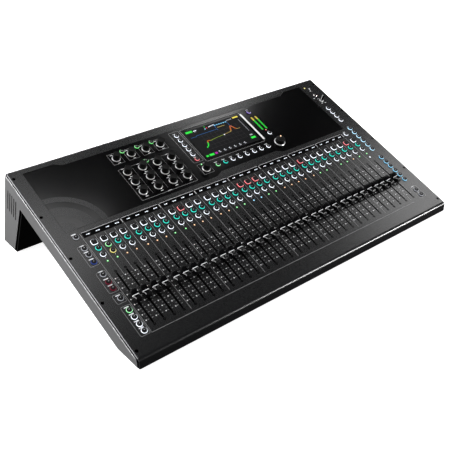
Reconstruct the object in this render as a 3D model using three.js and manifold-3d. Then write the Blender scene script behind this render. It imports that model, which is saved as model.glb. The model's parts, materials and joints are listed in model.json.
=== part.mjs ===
// Digital mixing console: a sloping control surface on a folded sheet-steel chassis whose rear
// leg carries the connectors, with an inset facia, a touchscreen, faders, rotary controls and keys.
//
// Units are millimetres and +Z is up. The origin is on the surface that the console stands on, at
// the centre of its footprint. +X runs to the operator's right and +Y away from the operator.
//
// Most sizes are given in the panel's own frame: x across from the panel's centre line, y up the
// slope from its front edge, z out of its top face.

import * as THREE from 'three';
import Module from 'manifold-3d';
import { mergeGeometries, mergeVertices } from 'three/addons/utils/BufferGeometryUtils.js';

const wasm = await Module();
wasm.setup();

// ---------- driving dimensions ----------

const SLOPE = THREE.MathUtils.degToRad(20.8);
const PANEL_WIDTH = 800;
const SHEET = 2;
const GAP = 0.4;

const FRONT_HEIGHT = 19; // front wall, from the underside up to the panel's front edge
const FOOT_HEIGHT = 2.5;
const PANEL_FRONT_Y = -248.6; // panel's front edge in the console's frame
const SLAB_THICKNESS = 40;
const LEG_TOP_Y = 391; // where the leg leaves the slab's underside, up the slope
const LEG_FOOT_FRONT = 441; // leg's foot, measured level from the panel's front edge
const LEG_FOOT_REAR = 493.5;
const REAR_WALL_Y = 460;
const REAR_CHAMFER_TOP = -189;
const REAR_RETURN = 14;

const NOSE_RADIUS = 8;
const REAR_RADIUS = 6;
const ARC_STEPS = 4;

const CHANNELS = 32;
const CHANNELS_PER_BANK = 4;
const FIRST_CHANNEL_X = -339;
const CHANNEL_PITCH = 20.2;
const BANK_GAP = 4.2; // added between one bank of channels and the next
const FADER_REST_Y = 106;
const FADER_SLOT = { low: 47, high: 168, width: 3 };

const FACIA = { left: -373, right: 348, bottom: 282, top: 435, plate: 2.4, flange: 6 };
const FACIA_STEPS = {
  tab: 9, // the facia is this much taller at its two top corners
  notch: 8.5, // and this much shallower below the screen
  leftTab: -310,
  leftTabFoot: -295,
  rightTab: 296,
  rightTabFoot: 279,
  notchLeft: -27.5,
  notchRight: 160,
  notchSlant: 18,
};
const SCREEN = { x: 59.2, y: 377, width: 157, height: 97, depth: 7, border: 7 };

const KEY_SIDES = 8;
const KEY_TOP = 3;
const KEY_CLEARANCE = 0.5;
const ROUND_KEY_RADIUS = 5.6;
const FACIA_KEY_RADIUS = 5;
const SQUARE_KEY = 12;
const SQUARE_KEY_CHAMFER = 2.5;
const KEYMAT_WEB = 1.2;
const KEYMAT_GAP = 1; // between the web and the sheet above it

// ---------- solids, cuts and joins ----------

/** The same triangles with no index, as cuts and joins of several geometries need them. */
function unindexed(geometry) {
  return geometry.index ? geometry.toNonIndexed() : geometry;
}

/** Turns a geometry into a closed solid. */
function solid(geometry) {
  const bare = unindexed(geometry).clone();
  bare.deleteAttribute('normal');
  bare.deleteAttribute('uv');
  const merged = mergeVertices(bare, 1e-4);
  return new wasm.Manifold(
    new wasm.Mesh({
      numProp: 3,
      vertProperties: new Float32Array(merged.attributes.position.array),
      triVerts: new Uint32Array(merged.index.array),
    }),
  );
}

/** Turns a closed solid back into a geometry. */
function toGeometry(closed) {
  const mesh = closed.getMesh();
  const geometry = new THREE.BufferGeometry();
  geometry.setAttribute('position', new THREE.BufferAttribute(mesh.vertProperties, 3));
  geometry.setIndex(new THREE.BufferAttribute(mesh.triVerts, 1));
  geometry.computeVertexNormals();
  return geometry;
}

/** Joins geometries that overlap one another into one solid. */
function join(geometries) {
  return geometries.map(solid).reduce((whole, piece) => whole.add(piece));
}

/** Cuts geometries that stay clear of one another out of a solid. */
function cut(whole, geometries) {
  return whole.subtract(solid(mergeGeometries(geometries.map(unindexed))));
}

/** Extrudes a shape drawn on the panel's plane from height low to height high. */
function plate(shape, low, high) {
  const geometry = new THREE.ExtrudeGeometry(shape, { depth: high - low, bevelEnabled: false });
  geometry.translate(0, 0, low);
  return unindexed(geometry);
}

/** Extrudes a shape drawn in the side view (y, z) across the console from x low to x high. */
function across(shape, low, high) {
  const geometry = plate(shape, low, high);
  const sideways = new THREE.Matrix4().makeBasis(
    new THREE.Vector3(0, 1, 0),
    new THREE.Vector3(0, 0, 1),
    new THREE.Vector3(1, 0, 0),
  );
  return geometry.applyMatrix4(sideways);
}

/** A closed outline through a list of [x, y] points. */
function outline(points) {
  return new THREE.Shape(points.map(([x, y]) => new THREE.Vector2(x, y)));
}

function rectangle(x, y, width, height) {
  const [w, h] = [width / 2, height / 2];
  return outline([[x - w, y - h], [x + w, y - h], [x + w, y + h], [x - w, y + h]]);
}

/** A regular outline whose flats lie at the given radius, with one flat towards +X. */
function polygon(x, y, radius, sides = KEY_SIDES) {
  const corner = radius / Math.cos(Math.PI / sides);
  const points = [];
  for (let i = 0; i < sides; i += 1) {
    const angle = ((i + 0.5) * 2 * Math.PI) / sides;
    points.push([x + corner * Math.cos(angle), y + corner * Math.sin(angle)]);
  }
  return outline(points);
}

/** A rectangle with its corners cut off. */
function chamfered(x, y, width, height, chamfer) {
  const [w, h] = [width / 2, height / 2];
  const [a, b] = [w - chamfer, h - chamfer];
  return outline([
    [x + a, y - h], [x + w, y - b], [x + w, y + b], [x + a, y + h],
    [x - a, y + h], [x - w, y + b], [x - w, y - b], [x - a, y - h],
  ]);
}

/** Points on the arc that rounds off a corner between two directions. */
function roundedCorner(corner, from, to, radius) {
  const a = new THREE.Vector2(...from).normalize();
  const b = new THREE.Vector2(...to).normalize();
  const half = a.angleTo(b) / 2;
  const reach = radius / Math.tan(half);
  const centre = a.clone().add(b).normalize().multiplyScalar(radius / Math.sin(half));
  const start = a.clone().multiplyScalar(reach).sub(centre).angle();
  const end = b.clone().multiplyScalar(reach).sub(centre).angle();
  const sweep = ((end - start + 3 * Math.PI) % (2 * Math.PI)) - Math.PI;
  const points = [];
  for (let i = 0; i <= ARC_STEPS; i += 1) {
    const angle = start + (sweep * i) / ARC_STEPS;
    points.push([
      corner[0] + centre.x + radius * Math.cos(angle),
      corner[1] + centre.y + radius * Math.sin(angle),
    ]);
  }
  return points;
}

/** The line beside a bent path, a distance to its left. */
function beside(path, distance) {
  const points = path.map(([x, y]) => new THREE.Vector2(x, y));
  const normal = (a, b) => {
    const along = b.clone().sub(a).normalize();
    return new THREE.Vector2(-along.y, along.x);
  };
  return points.map((point, i) => {
    const before = i > 0 ? normal(points[i - 1], point) : normal(point, points[i + 1]);
    const after = i < points.length - 1 ? normal(point, points[i + 1]) : before;
    const mitre = before.clone().add(after).normalize();
    mitre.multiplyScalar(distance / mitre.dot(before)).add(point);
    return [mitre.x, mitre.y];
  });
}

/** The side view of a sheet folded along a path, its thickness lying to the path's left. */
function foldedSheet(path) {
  return outline([...path, ...beside(path, SHEET).reverse()]);
}

// ---------- side view ----------

const DOWN = [-Math.sin(SLOPE), -Math.cos(SLOPE)]; // straight down, in the panel's side view

/** A point given level and upright from the panel's front edge, in the panel's side view. */
function upright(y, z) {
  return [
    y * Math.cos(SLOPE) + z * Math.sin(SLOPE),
    z * Math.cos(SLOPE) - y * Math.sin(SLOPE),
  ];
}

/** A point on the underside's level plane, a level distance from the panel's front edge. */
function underside(y) {
  return upright(y, -FRONT_HEIGHT);
}

const SLAB_BEND = (SLAB_THICKNESS - FRONT_HEIGHT * Math.cos(SLOPE)) / Math.sin(SLOPE);
const LEG_FRONT_TOP = [LEG_TOP_Y, -SLAB_THICKNESS];

/** The outline of the whole casing from the side, drawn in by an inset, wider at the leg's front. */
function casingOutline(inset, legInset) {
  const path = [
    upright(inset, inset - FRONT_HEIGHT),
    underside(SLAB_BEND).map((c, i) => c + [0, inset][i]),
    [LEG_FRONT_TOP[0] + legInset, LEG_FRONT_TOP[1] + inset],
    upright(LEG_FOOT_FRONT + legInset, inset - FRONT_HEIGHT),
    upright(LEG_FOOT_REAR, inset - FRONT_HEIGHT),
    [REAR_WALL_Y - inset, REAR_CHAMFER_TOP],
    ...roundedCorner([REAR_WALL_Y - inset, -inset], [0, -1], [-1, 0], REAR_RADIUS),
    ...roundedCorner([inset, -inset], [1, 0], DOWN, NOSE_RADIUS),
  ];
  return outline(path);
}

// ---------- where the controls are ----------

/** Distance across the panel of each strip's centre line; strip CHANNELS is the master. */
function stripX(index) {
  return FIRST_CHANNEL_X + CHANNEL_PITCH * index + BANK_GAP * Math.floor(index / CHANNELS_PER_BANK);
}

const stripNames = [];
for (let i = 0; i < CHANNELS; i += 1) {
  stripNames.push(`fader_${String(i + 1).padStart(2, '0')}`);
}
stripNames.push('fader_master');

const ENCODER_COLUMNS = [-190.5, -155.1, -119.8, -84.5];
const ENCODER_ROWS = [408, 366, 337.5, 309];
const SOFT_ROTARY = [-36, 309];
const MAIN_WHEEL = [169, 309];
const PHONES_LEVEL = [369, 383];

const LEFT_KEYS_X = -362;
const LEFT_KEYS_Y = [265, 236, 220.5, 203, 172.5, 154.5, 140, 116, 88.75, 73.25, 57.5, 43];
const RIGHT_KEYS_X = 364.5;
const RIGHT_KEYS_Y = [
  352.5, 337.5, 323, 308, 276, 261, 246, 231, 215.5, 200.5, 170, 154.5, 140, 125, 110, 95, 58.75, 43.75,
];
const PAGE_KEY = [340, 265];
const SELECT_ROW_Y = 241.25;
const ROUND_ROWS_Y = [226.25, 210.5];

const EDIT_KEYS = [[-168.75, 421], [-133.25, 421], [-98, 421], [-138, 379]];
const SCREEN_SIDE_KEYS_X = -37.5;
const SCREEN_SIDE_KEYS_Y = [415.5, 400, 385, 370.5, 355, 340];
const SOFT_KEYS_Y = 308.75;
const SOFT_KEYS_X = [-5.5, 15, 35, 54.5, 75, 95, 115, 135];
const METER_KEYS = [[166, 417.5], [167, 342]];

/** Every round key that comes up through the steel panel. */
function panelRoundKeys() {
  const keys = [PAGE_KEY];
  for (const y of LEFT_KEYS_Y) {
    keys.push([LEFT_KEYS_X, y]);
  }
  for (const y of RIGHT_KEYS_Y) {
    keys.push([RIGHT_KEYS_X, y]);
  }
  for (let i = 0; i <= CHANNELS; i += 1) {
    for (const y of ROUND_ROWS_Y) {
      keys.push([stripX(i), y]);
    }
  }
  return keys;
}

/** Every key that comes up through the facia. */
function faciaKeys() {
  return [
    ...EDIT_KEYS,
    ...SCREEN_SIDE_KEYS_Y.map((y) => [SCREEN_SIDE_KEYS_X, y]),
    ...SOFT_KEYS_X.map((x) => [x, SOFT_KEYS_Y]),
    ...METER_KEYS,
  ];
}

/** Every rotary control: its name, its place and the size of its knob. */
function rotaries() {
  const list = [];
  ENCODER_ROWS.forEach((y, row) => {
    ENCODER_COLUMNS.forEach((x, column) => {
      const name = `encoder_${row * ENCODER_COLUMNS.length + column + 1}`;
      list.push({ name, x, y, radius: 8.7, height: 15, onFacia: true });
    });
  });
  const [softX, softY] = SOFT_ROTARY;
  list.push({ name: 'soft_rotary', x: softX, y: softY, radius: 9, height: 15, onFacia: true });
  const [wheelX, wheelY] = MAIN_WHEEL;
  list.push({ name: 'main_wheel', x: wheelX, y: wheelY, radius: 12.5, height: 11, onFacia: true });
  const [phonesX, phonesY] = PHONES_LEVEL;
  list.push({ name: 'phones_level', x: phonesX, y: phonesY, radius: 5.4, height: 18, onFacia: false });
  return list;
}

// ---------- steel panel ----------

const SHAFT_RADIUS = 3;
const SHAFT_HOLE_SIDES = 12;

function shaftHole({ x, y }) {
  return polygon(x, y, SHAFT_RADIUS + KEY_CLEARANCE, SHAFT_HOLE_SIDES);
}

/** The facia's stepped outline, grown by a margin. */
function faciaOutline(margin) {
  const { left, right, bottom, top } = FACIA;
  const { tab, notch, notchSlant, leftTab, leftTabFoot, rightTab, rightTabFoot } = FACIA_STEPS;
  const { notchLeft, notchRight } = FACIA_STEPS;
  const slack = margin * Math.tan(Math.PI / 8);
  return outline([
    [left - margin, bottom - margin],
    [notchLeft + slack, bottom - margin],
    [notchLeft + notchSlant + slack, bottom + notch - margin],
    [notchRight - notchSlant - slack, bottom + notch - margin],
    [notchRight - slack, bottom - margin],
    [right + margin, bottom - margin],
    [right + margin, top + tab + margin],
    [rightTab - slack, top + tab + margin],
    [rightTabFoot - slack, top + margin],
    [leftTabFoot + slack, top + margin],
    [leftTab + slack, top + tab + margin],
    [left - margin, top + tab + margin],
  ]);
}

function topPanel() {
  const sheet = foldedSheet([
    [REAR_WALL_Y, -REAR_RETURN],
    ...roundedCorner([REAR_WALL_Y, 0], [0, -1], [-1, 0], REAR_RADIUS),
    ...roundedCorner([0, 0], [1, 0], DOWN, NOSE_RADIUS),
    underside(0),
  ]);
  const through = [-3 * SHEET, SHEET];
  const { low, high, width } = FADER_SLOT;
  const holes = [plate(faciaOutline(GAP), ...through)];
  for (let i = 0; i <= CHANNELS; i += 1) {
    const slot = chamfered(stripX(i), (low + high) / 2, width, high - low, width / 3);
    const select = SQUARE_KEY + 2 * KEY_CLEARANCE;
    const key = chamfered(stripX(i), SELECT_ROW_Y, select, select, SQUARE_KEY_CHAMFER);
    holes.push(plate(slot, ...through));
    holes.push(plate(key, ...through));
  }
  for (const [x, y] of panelRoundKeys()) {
    holes.push(plate(polygon(x, y, ROUND_KEY_RADIUS + KEY_CLEARANCE), ...through));
  }
  for (const rotary of rotaries().filter((r) => !r.onFacia)) {
    holes.push(plate(shaftHole(rotary), ...through));
  }
  return toGeometry(cut(solid(across(sheet, -PANEL_WIDTH / 2, PANEL_WIDTH / 2)), holes));
}

// ---------- chassis ----------

const FRONT_FLANGE = 12; // the base pan's upturn behind the panel's front wall
const FOOT = { radius: 11, sides: 12, x: 365, frontY: 34, rearY: 467 };
const INLET = { x: 330, y: REAR_WALL_Y, z: -140, width: 26, height: 18, depth: 16, wall: 3 };

/** The mains inlet's housing behind the rear wall, or the pocket in it that takes a plug. */
function inletBlock(margin, backDepth, proud) {
  const { x, y, z, width, height } = INLET;
  const block = new THREE.BoxGeometry(
    width + 2 * margin, backDepth + proud, height + 2 * margin,
  );
  block.translate(x, y + (proud - backDepth) / 2, z);
  return block;
}

function baseShell() {
  const front = SHEET + GAP;
  const path = [
    upright(front, FRONT_FLANGE - FRONT_HEIGHT),
    underside(front),
    underside(SLAB_BEND),
    LEG_FRONT_TOP,
    underside(LEG_FOOT_FRONT),
    underside(LEG_FOOT_REAR),
    [REAR_WALL_Y, REAR_CHAMFER_TOP],
    [REAR_WALL_Y, -REAR_RETURN - GAP],
  ];
  const feet = [];
  for (const x of [-FOOT.x, FOOT.x]) {
    for (const level of [FOOT.frontY, FOOT.rearY]) {
      const foot = new THREE.CylinderGeometry(
        FOOT.radius, FOOT.radius, FOOT_HEIGHT + SHEET / 2, FOOT.sides,
      );
      foot.rotateX(Math.PI / 2 - SLOPE);
      const [y, z] = upright(level, (SHEET / 2 - FOOT_HEIGHT) / 2 - FRONT_HEIGHT);
      foot.translate(x, y, z);
      feet.push(foot);
    }
  }
  const shell = join([
    across(foldedSheet(path), -PANEL_WIDTH / 2, PANEL_WIDTH / 2),
    inletBlock(INLET.wall, INLET.depth + INLET.wall, 0),
    ...feet,
  ]);
  return toGeometry(shell.subtract(solid(inletBlock(0, INLET.depth, 1))));
}

const CHEEK_INSET = 2.2;
const CHEEK_LEG_INSET = 5;
const VENTS = { count: 5, y: 427, pitch: 8, z: -56, length: 52, width: 3 };

/** An end cheek: a flat plate over one end of the casing, with a row of cooling slots. */
function endCheek(side) {
  const inner = PANEL_WIDTH / 2 + GAP;
  const [low, high] = side < 0 ? [-inner - SHEET, -inner] : [inner, inner + SHEET];
  const slots = [];
  for (let i = 0; i < VENTS.count; i += 1) {
    const y = VENTS.y + VENTS.pitch * (i - (VENTS.count - 1) / 2);
    slots.push(across(chamfered(y, VENTS.z, VENTS.width, VENTS.length, 1), low - 1, high + 1));
  }
  const cheek = solid(across(casingOutline(CHEEK_INSET, CHEEK_LEG_INSET), low, high));
  return toGeometry(cut(cheek, slots));
}

// ---------- facia and touchscreen ----------

function faciaPanel() {
  const { plate: thick, flange } = FACIA;
  const frame = join([
    plate(faciaOutline(0), -thick, 0),
    plate(faciaOutline(flange), -thick - SHEET, -thick),
  ]);
  const through = [-thick - 2 * SHEET, SHEET];
  const { x, y, width, height } = SCREEN;
  const holes = [plate(rectangle(x, y, width + 2 * GAP, height + 2 * GAP), ...through)];
  for (const rotary of rotaries().filter((r) => r.onFacia)) {
    holes.push(plate(shaftHole(rotary), ...through));
  }
  for (const [keyX, keyY] of faciaKeys()) {
    holes.push(plate(polygon(keyX, keyY, FACIA_KEY_RADIUS + KEY_CLEARANCE), ...through));
  }
  return toGeometry(cut(frame, holes));
}

/** The screen's glass, flush with the facia, on the display module behind it. */
function touchscreen() {
  const { x, y, width, height, depth, border } = SCREEN;
  const back = -FACIA.plate - SHEET - GAP;
  return toGeometry(
    join([
      plate(rectangle(x, y, width, height), back - 1, 0),
      plate(rectangle(x, y, width + 2 * border, height + 2 * border), back - depth, back),
    ]),
  );
}

// ---------- keys ----------

/** A key's post, from the keymat's web up through the panel. */
function keyPost(shape, webTop) {
  return plate(shape, webTop - KEYMAT_WEB / 2, KEY_TOP);
}

/** A keymat's web, joined from the strips between pairs of corners. */
function keymatWeb(webTop, strips) {
  const low = webTop - KEYMAT_WEB;
  return join(
    strips.map(({ left, bottom, right, top }) => {
      const strip = rectangle((left + right) / 2, (bottom + top) / 2, right - left, top - bottom);
      return plate(strip, low, webTop);
    }),
  );
}

const WEB_MARGIN = 7.5; // web beside a column of keys' centre line

function panelKeymat() {
  const webTop = -SHEET - KEYMAT_GAP;
  const column = (x, bottom, top) => ({
    left: x - WEB_MARGIN, bottom, right: x + WEB_MARGIN, top,
  });
  const web = keymatWeb(webTop, [
    { left: LEFT_KEYS_X - WEB_MARGIN, bottom: 202, right: RIGHT_KEYS_X + WEB_MARGIN, top: 249.5 },
    column(LEFT_KEYS_X, 35.5, 272),
    column(RIGHT_KEYS_X, 36, 360),
    column(PAGE_KEY[0], 240, 272),
  ]);
  const posts = panelRoundKeys().map(([x, y]) => polygon(x, y, ROUND_KEY_RADIUS));
  for (let i = 0; i <= CHANNELS; i += 1) {
    posts.push(chamfered(stripX(i), SELECT_ROW_Y, SQUARE_KEY, SQUARE_KEY, SQUARE_KEY_CHAMFER));
  }
  const keys = mergeGeometries(posts.map((shape) => keyPost(shape, webTop)));
  return toGeometry(web.add(solid(keys)));
}

function faciaKeymat() {
  const webTop = -FACIA.plate - SHEET - KEYMAT_GAP;
  const web = keymatWeb(webTop, [
    { left: -176, bottom: 416, right: -30, top: 427 }, // edit keys above the first encoder row
    { left: -142.5, bottom: 373, right: -133.5, top: 420 },
    { left: -44, bottom: 316, right: -31, top: 427 }, // keys left of the screen
    { left: -44, bottom: 316, right: 10, top: 321 },
    { left: -13, bottom: 302, right: 142, top: 318 }, // soft keys below the screen
    { left: 130, bottom: 315, right: 173, top: 321 },
    { left: 160, bottom: 315, right: 173, top: 424 }, // keys beside the meters
  ]);
  const posts = faciaKeys().map(([x, y]) => polygon(x, y, FACIA_KEY_RADIUS));
  const keys = mergeGeometries(posts.map((shape) => keyPost(shape, webTop)));
  return toGeometry(web.add(solid(keys)));
}

// ---------- faders and knobs ----------

const CAP = {
  width: 12.6,
  length: 25,
  low: 2.5,
  waist: 9.5, // height of the finger dish in the middle
  ridge: 10.3, // height of the index ridge across the dish
  shoulder: 11,
  top: 12.5,
};
const STEM = { width: 1.6, length: 6, foot: -16 };

/** A fader: its saddle-shaped cap on the flat stem that runs down through the slot. */
function fader() {
  const { width, length, low, waist, ridge, shoulder, top } = CAP;
  const end = length / 2;
  const rise = [[end, low], [end - 1.5, shoulder], [end - 4, top], [end - 7.5, shoulder], [1.5, waist]];
  const fall = rise.map(([y, z]) => [-y, z]).reverse();
  const profile = outline([...rise, [0, ridge], ...fall]);
  const stem = new THREE.BoxGeometry(STEM.width, STEM.length, low + 1 - STEM.foot);
  stem.translate(0, 0, (low + 1 + STEM.foot) / 2);
  return toGeometry(join([across(profile, -width / 2, width / 2), stem]));
}

const KNOB = {
  shaftEnd: -9,
  foot: 0.8, // clearance under the skirt
  skirt: 3,
  gripFoot: 4.5,
  gripShare: 0.78, // the grip's radius as a share of the skirt's
  taper: 0.95,
  segments: 12,
};

/** A rotary control: its skirted knob on the shaft that runs down through the panel. */
function knob(radius, height) {
  const { shaftEnd, foot, skirt, gripFoot, gripShare, taper, segments } = KNOB;
  const grip = radius * gripShare;
  const profile = [
    [0, shaftEnd], [SHAFT_RADIUS, shaftEnd], [SHAFT_RADIUS, foot], [radius, foot],
    [radius, skirt], [grip, gripFoot], [grip * taper, height], [0, height],
  ];
  const points = profile.map(([r, z]) => new THREE.Vector2(r, z));
  const geometry = new THREE.LatheGeometry(points, segments);
  geometry.rotateX(Math.PI / 2);
  return toGeometry(solid(geometry));
}

// ---------- materials ----------

function finish(color, roughness, metalness) {
  return new THREE.MeshStandardMaterial({ color, roughness, metalness });
}

const finishes = {
  panelPaint: () => finish(0x3a3b3d, 0.6, 0.3),
  chassisPaint: () => finish(0x141415, 0.7, 0.3),
  cheekPaint: () => finish(0x77787a, 0.45, 0.6),
  faciaGloss: () => finish(0x111113, 0.25, 0.1),
  glass: () => finish(0x0a0d12, 0.08, 0.0),
  keyRubber: () => finish(0xc9d2d4, 0.6, 0.0),
  blackPlastic: () => finish(0x17181a, 0.5, 0.0),
};

// ---------- assembly ----------

const desk = new THREE.Group();
const panel = new THREE.Group();
panel.rotation.x = SLOPE;
panel.position.set(0, PANEL_FRONT_Y, FRONT_HEIGHT + FOOT_HEIGHT);
desk.add(panel);

function place(name, geometry, material, x = 0, y = 0) {
  const mesh = new THREE.Mesh(geometry, material);
  mesh.name = name;
  mesh.position.set(x, y, 0);
  panel.add(mesh);
}

place('top_panel', topPanel(), finishes.panelPaint());
place('base_shell', baseShell(), finishes.chassisPaint());
place('left_end_cheek', endCheek(-1), finishes.cheekPaint());
place('right_end_cheek', endCheek(1), finishes.cheekPaint());
place('facia_panel', faciaPanel(), finishes.faciaGloss());
place('touchscreen', touchscreen(), finishes.glass());
place('panel_keymat', panelKeymat(), finishes.keyRubber());
place('facia_keymat', faciaKeymat(), finishes.keyRubber());

stripNames.forEach((name, i) => {
  place(name, fader(), finishes.blackPlastic(), stripX(i), FADER_REST_Y);
});

for (const { name, x, y, radius, height } of rotaries()) {
  place(name, knob(radius, height), finishes.blackPlastic(), x, y);
}

export default desk;
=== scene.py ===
"""Looks of a digital mixing console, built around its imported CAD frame.

Every piece is drawn in millimetres in a local frame and carried into the row frame by a matrix.
The panel's frame has x across from the panel's centre line, y up the slope from its front edge and
z out of its top face, as in the CAD source.
"""

import json
import math

import bmesh
import bpy
from mathutils import Matrix, Vector


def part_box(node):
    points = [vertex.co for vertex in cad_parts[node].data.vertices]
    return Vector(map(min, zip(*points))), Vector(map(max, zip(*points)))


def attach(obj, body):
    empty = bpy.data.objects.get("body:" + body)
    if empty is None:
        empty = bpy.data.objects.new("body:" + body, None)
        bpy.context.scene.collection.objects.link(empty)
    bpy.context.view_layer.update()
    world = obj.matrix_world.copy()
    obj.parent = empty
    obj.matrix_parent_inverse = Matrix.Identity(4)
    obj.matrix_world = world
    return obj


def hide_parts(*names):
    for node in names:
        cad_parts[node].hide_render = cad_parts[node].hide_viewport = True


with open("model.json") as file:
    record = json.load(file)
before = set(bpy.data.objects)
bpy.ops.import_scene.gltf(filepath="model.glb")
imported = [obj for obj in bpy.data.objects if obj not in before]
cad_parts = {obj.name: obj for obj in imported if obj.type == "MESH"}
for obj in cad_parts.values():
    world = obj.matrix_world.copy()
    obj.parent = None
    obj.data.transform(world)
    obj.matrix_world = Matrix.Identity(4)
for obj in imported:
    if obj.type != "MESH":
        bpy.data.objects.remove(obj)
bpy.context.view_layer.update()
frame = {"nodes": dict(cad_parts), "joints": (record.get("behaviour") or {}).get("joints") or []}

# ---------- the panel's frame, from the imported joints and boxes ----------

MM = 0.001
BODY = "console"
joints = {joint["name"]: joint for joint in frame["joints"]}
up_slope = Vector(joints["fader_01_slide"]["axis"])
slope = math.atan2(up_slope.z, up_slope.y)
front_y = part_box("top_panel")[0].y
encoder_at = Vector(joints["encoder_1_turn"]["pos_m"])
front_z = encoder_at.z - (encoder_at.y - front_y) * math.tan(slope)
TURN = Matrix.Rotation(slope, 4, "X") @ Matrix.Scale(MM, 4)
PANEL = Matrix.Translation((0, front_y, front_z)) @ TURN
TO_PANEL = PANEL.inverted()
DOWN = (-math.sin(slope), -math.cos(slope))


def on_panel(point):
    """A point of the row frame, in the panel's frame."""
    return TO_PANEL @ Vector(point)


def node_centre(node):
    """A CAD node's centre across and up the slope, from its box."""
    low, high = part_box(node)
    return on_panel((low + high) / 2)


def knob_place(node):
    return on_panel(joints[f"{node}_turn"]["pos_m"])


faders = [name for name in frame["nodes"] if name.startswith("fader_")]
faders.sort(key=lambda name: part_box(name)[0].x)
strip_x = [node_centre(name).x for name in faders]
encoders = [f"encoder_{i + 1}" for i in range(16)]

# sizes that the looks share with the CAD source, in millimetres
HALF_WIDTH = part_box("top_panel")[1].x / MM
SHEET = 2
GAP = 0.4
FRONT_HEIGHT = 19
SLAB = 40
REAR_WALL = 460
REAR_RETURN = 14
REAR_FOOT = -189
LEG_TOP = 391
LEG_FOOT_FRONT = 441
LEG_FOOT_REAR = 493.5
NOSE_RADIUS = 8
REAR_RADIUS = 6
REST_Y = 106
BEND = (SLAB - FRONT_HEIGHT * math.cos(slope)) / math.sin(slope)
INK = 0.06  # how far printed marks and display graphics stand proud

# ---------- outlines ----------


def circle(x, y, radius, count=32):
    turns = [2 * math.pi * i / count for i in range(count)]
    return [(x + radius * math.cos(a), y + radius * math.sin(a)) for a in turns]


def arc_corner(corner, from_, to, radius, steps=6):
    """Points on the arc that rounds off a corner between two directions."""
    a = Vector(from_).normalized()
    b = Vector(to).normalized()
    half = a.angle(b) / 2
    reach = radius / math.tan(half)
    centre = (a + b).normalized() * (radius / math.sin(half))
    start = math.atan2(*reversed(a * reach - centre))
    end = math.atan2(*reversed(b * reach - centre))
    sweep = (end - start + math.pi) % (2 * math.pi) - math.pi
    points = []
    for i in range(steps + 1):
        angle = start + sweep * i / steps
        x = corner[0] + centre.x + radius * math.cos(angle)
        points.append((x, corner[1] + centre.y + radius * math.sin(angle)))
    return points


def rounded_path(points, radius, steps=6):
    """A closed outline with every corner rounded off."""
    result = []
    for i, corner in enumerate(points):
        here = Vector(corner)
        before = Vector(points[i - 1]) - here
        after = Vector(points[(i + 1) % len(points)]) - here
        result += arc_corner(corner, before, after, radius, steps)
    return result


def rounded_run(points, radii, steps=5):
    """The rounded corners of an open line, without its two end points."""
    path = []
    for before, corner, after, radius in zip(points, points[1:], points[2:], radii):
        here = Vector(corner)
        path += arc_corner(corner, Vector(before) - here, Vector(after) - here, radius, steps)
    return path


def rectangle(x, y, width, height, radius=0.0, steps=4):
    w, h = width / 2, height / 2
    corners = [(x - w, y - h), (x + w, y - h), (x + w, y + h), (x - w, y + h)]
    if radius <= 0:
        return corners
    return rounded_path(corners, radius, steps)


def span(left, bottom, right, top, radius=0.0):
    """A rectangle given by its edges."""
    return rectangle((left + right) / 2, (bottom + top) / 2, right - left, top - bottom, radius)


def grown(points, distance):
    """An outline drawn counter-clockwise, moved outwards by a distance."""
    result = []
    for i, point in enumerate(points):
        here = Vector(point)
        before = (here - Vector(points[i - 1])).normalized()
        after = (Vector(points[(i + 1) % len(points)]) - here).normalized()
        mitre = Vector((before.y + after.y, -before.x - after.x)).normalized()
        reach = distance / max(0.3, mitre.dot(Vector((before.y, -before.x))))
        result.append(tuple(here + mitre * reach))
    return result


def beside(path, distance):
    """The line beside an open path, a distance to its left."""
    result = []
    for i, point in enumerate(path):
        here = Vector(point)
        after = Vector(path[min(i + 1, len(path) - 1)]) - Vector(path[min(i, len(path) - 2)])
        before = here - Vector(path[i - 1]) if i else after
        a = Vector((-before.y, before.x)).normalized()
        b = Vector((-after.y, after.x)).normalized()
        mitre = (a + b).normalized()
        result.append(tuple(here + mitre * (distance / mitre.dot(a))))
    return result


def folded(path, thickness=SHEET, skin=0.0):
    """The closed side view of a sheet folded along a path, its outer face drawn in by a skin."""
    return beside(path, skin) + beside(path, thickness)[::-1]


def upright(level, height):
    """A point given level and upright from the panel's front edge, in the panel's side view."""
    y = level * math.cos(slope) + height * math.sin(slope)
    return y, height * math.cos(slope) - level * math.sin(slope)


def underside(level):
    return upright(level, -FRONT_HEIGHT)


# ---------- solids ----------


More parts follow.
